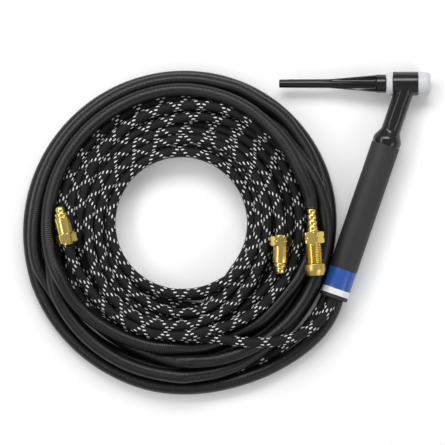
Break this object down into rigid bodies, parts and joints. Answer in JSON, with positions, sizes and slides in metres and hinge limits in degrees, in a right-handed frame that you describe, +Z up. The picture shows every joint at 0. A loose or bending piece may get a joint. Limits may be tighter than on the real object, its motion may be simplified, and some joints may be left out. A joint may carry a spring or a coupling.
{
  "type": "water-cooled TIG torch",
  "caption": "Angled-head water-cooled TIG welding torch with a long back cap, a tube handle, and rubber and braided hoses coiled beside it, ending in brass fittings.",
  "frame": {"origin": "bottom centre of the torch's own box, the hoses and fittings left out, on the surface it lies on", "axes": "+X out of the torch's front, along the head; +Y from the handle's open end towards the head; +Z up from the surface"},
  "size_m": [0.4075, 0.3238, 0.0507],
  "materials": {
    "gloss_black": "moulded, glossy",
    "handle_black": "fine matt grain",
    "white_insulator": "smooth, satin",
    "brass": "machined, bright",
    "dull_brass": "satin",
    "copper": "drawn tube",
    "label": "printed film, glossy",
    "hose_rubber": "matt, faint cross ribs",
    "braid": "woven textile with white tracer yarns",
    "seal_rubber": "moulded"
  },
  "bodies": {
    "root": {"head_moulding": "gloss_black", "torch_body": "brass", "rear_insulator": "white_insulator", "front_insulator": "white_insulator", "power_tube": "copper", "water_tube": "copper", "gas_tube": "copper", "power_hose_clamp": "brass", "water_hose_clamp": "brass", "gas_hose_clamp": "brass", "handle": "handle_black", "label_wrap": "label", "power_hose_lead": "hose_rubber", "power_hose_coil": "hose_rubber", "power_hose_tail": "hose_rubber", "water_hose_lead": "braid", "water_hose_coil": "braid", "water_hose_tail": "braid", "gas_hose_lead": "braid", "gas_hose_coil": "braid", "gas_hose_tail": "braid", "power_nipple": "brass", "water_nipple": "brass", "water_end_ferrule": "brass", "gas_nipple": "brass", "gas_end_ferrule": "brass"},
    "cap_seal": {"back_cap_o_ring": "seal_rubber"},
    "back_cap": {"back_cap": "gloss_black"},
    "power_nut": {"power_nut": "brass"},
    "power_thread_cap": {"power_thread_cap": "dull_brass"},
    "water_nut": {"water_nut": "brass"},
    "gas_nut": {"gas_nut": "brass"}
  },
  "joints": [
    {"name": "back_cap_travel", "type": "slide", "parent": "root", "child": "cap_seal", "axis": [-1, 0, 0], "range_m": [0, 0.0077]},
    {"name": "back_cap_turn", "type": "hinge", "parent": "cap_seal", "child": "back_cap", "pos_m": [0.052, 0.1035, 0.01435], "axis": [-1, 0, 0], "range_deg": [0, 2160]},
    {"name": "power_nut_spin", "type": "hinge", "parent": "root", "child": "power_nut", "pos_m": [-0.0436, -0.0209, 0.0402], "axis": [0.0669, -0.9978, 0], "continuous": true},
    {"name": "power_thread_cap_pull", "type": "slide", "parent": "root", "child": "power_thread_cap", "axis": [0.0669, -0.9978, 0], "range_m": [0, 0.015]},
    {"name": "water_nut_spin", "type": "hinge", "parent": "root", "child": "water_nut", "pos_m": [-0.074, -0.0494, 0.0348], "axis": [-0.018, -0.9998, 0], "continuous": true},
    {"name": "gas_nut_spin", "type": "hinge", "parent": "root", "child": "gas_nut", "pos_m": [-0.2873, -0.0559, 0.0385], "axis": [-0.2241, 0.9746, 0], "continuous": true}
  ],
  "couplings": [
    {"joint": "back_cap_travel", "follows": "back_cap_turn", "m_per_rad": 0.00020213}
  ]
}
